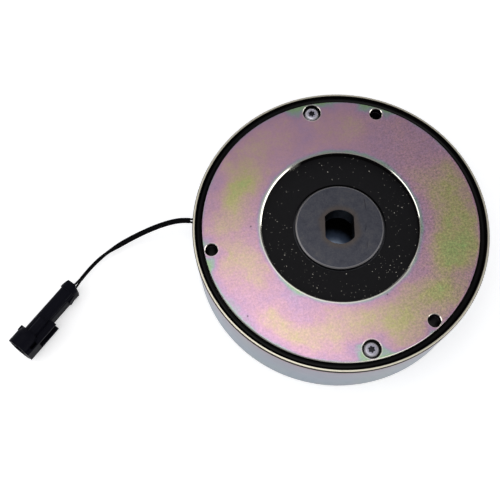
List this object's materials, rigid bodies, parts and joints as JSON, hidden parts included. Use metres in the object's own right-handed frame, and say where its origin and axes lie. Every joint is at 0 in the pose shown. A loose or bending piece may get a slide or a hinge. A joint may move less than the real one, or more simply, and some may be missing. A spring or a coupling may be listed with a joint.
{
  "type": "spring-applied electromagnetic motor brake",
  "caption": "Round spring-applied electromagnetic brake for a motor shaft, with friction disc, splined hub, bolt-on housing and a short lead with a sealed plug.",
  "frame": {"origin": "centre of the housing's back face, on the hub axis", "axes": "+Z along the hub axis towards the motor, +X midway between two mounting holes, the plate screws on +Y and -Y"},
  "size_m": [0.2617, 0.155, 0.041],
  "materials": {
    "clear_zinc_steel": "clear bluish zinc plating on turned steel",
    "plug_steel": "clear zinc plated sheet",
    "bobbin_plastic": "natural nylon",
    "coil_copper": "enamelled copper wire",
    "cast_resin": "black cast resin",
    "spring_steel": "oiled spring wire",
    "pin_steel": "ground and hardened",
    "armature_steel": "phosphated steel, ground on its friction face",
    "hub_steel": "dark heat-treated steel",
    "carrier_steel": "rolled steel",
    "friction_lining": "black moulded friction material with fine metal flecks",
    "yellow_zinc_steel": "yellow chromate zinc plating with iridescent fields",
    "seal_rubber": "black rubber cord",
    "screw_zinc": "clear zinc plated",
    "grommet_rubber": "black rubber",
    "wire_insulation": "black insulation",
    "sleeve_plastic": "black woven sleeve",
    "connector_nylon": "black moulded nylon",
    "lock_nylon": "black moulded nylon",
    "wire_seal_rubber": "silicone rubber",
    "tinned_brass": "tin plated"
  },
  "bodies": {
    "root": {"housing": "clear_zinc_steel", "rear_plug": "plug_steel", "coil_bobbin": "bobbin_plastic", "coil_winding": "coil_copper", "coil_potting": "cast_resin", "pressure_spring_1": "spring_steel", "pressure_spring_2": "spring_steel", "pressure_spring_3": "spring_steel", "pressure_spring_4": "spring_steel", "pressure_spring_5": "spring_steel", "pressure_spring_6": "spring_steel", "guide_pin_1": "pin_steel", "guide_pin_2": "pin_steel", "guide_pin_3": "pin_steel", "front_plate": "yellow_zinc_steel", "rim_seal": "seal_rubber", "plate_screw_1": "screw_zinc", "plate_screw_2": "screw_zinc", "cable_grommet": "grommet_rubber", "wire_1": "wire_insulation", "wire_2": "wire_insulation", "cable_sleeve": "sleeve_plastic", "connector_body": "connector_nylon", "connector_lock": "lock_nylon", "wire_seal_1": "wire_seal_rubber", "wire_seal_2": "wire_seal_rubber", "terminal_1": "tinned_brass", "terminal_2": "tinned_brass"},
    "armature": {"armature_plate": "armature_steel"},
    "hub": {"hub": "hub_steel"},
    "friction_disc": {"disc_carrier": "carrier_steel", "front_lining": "friction_lining", "rear_lining": "friction_lining"}
  },
  "joints": [
    {"name": "armature_slide", "type": "slide", "parent": "root", "child": "armature", "axis": [0, 0, -1], "range_m": [0, 0.0004], "stiffness_N_per_m": 20000, "springref_m": -0.0006, "deforming": ["pressure_spring_1", "pressure_spring_2", "pressure_spring_3", "pressure_spring_4", "pressure_spring_5", "pressure_spring_6"]},
    {"name": "hub_spin", "type": "hinge", "parent": "root", "child": "hub", "pos_m": [0, 0, 0.032], "axis": [0, 0, 1], "continuous": true},
    {"name": "disc_float", "type": "slide", "parent": "hub", "child": "friction_disc", "axis": [0, 0, -1], "range_m": [0, 0.0002]}
  ],
  "couplings": [
    {"joint": "disc_float", "follows": "armature_slide", "ratio": 0.5}
  ]
}
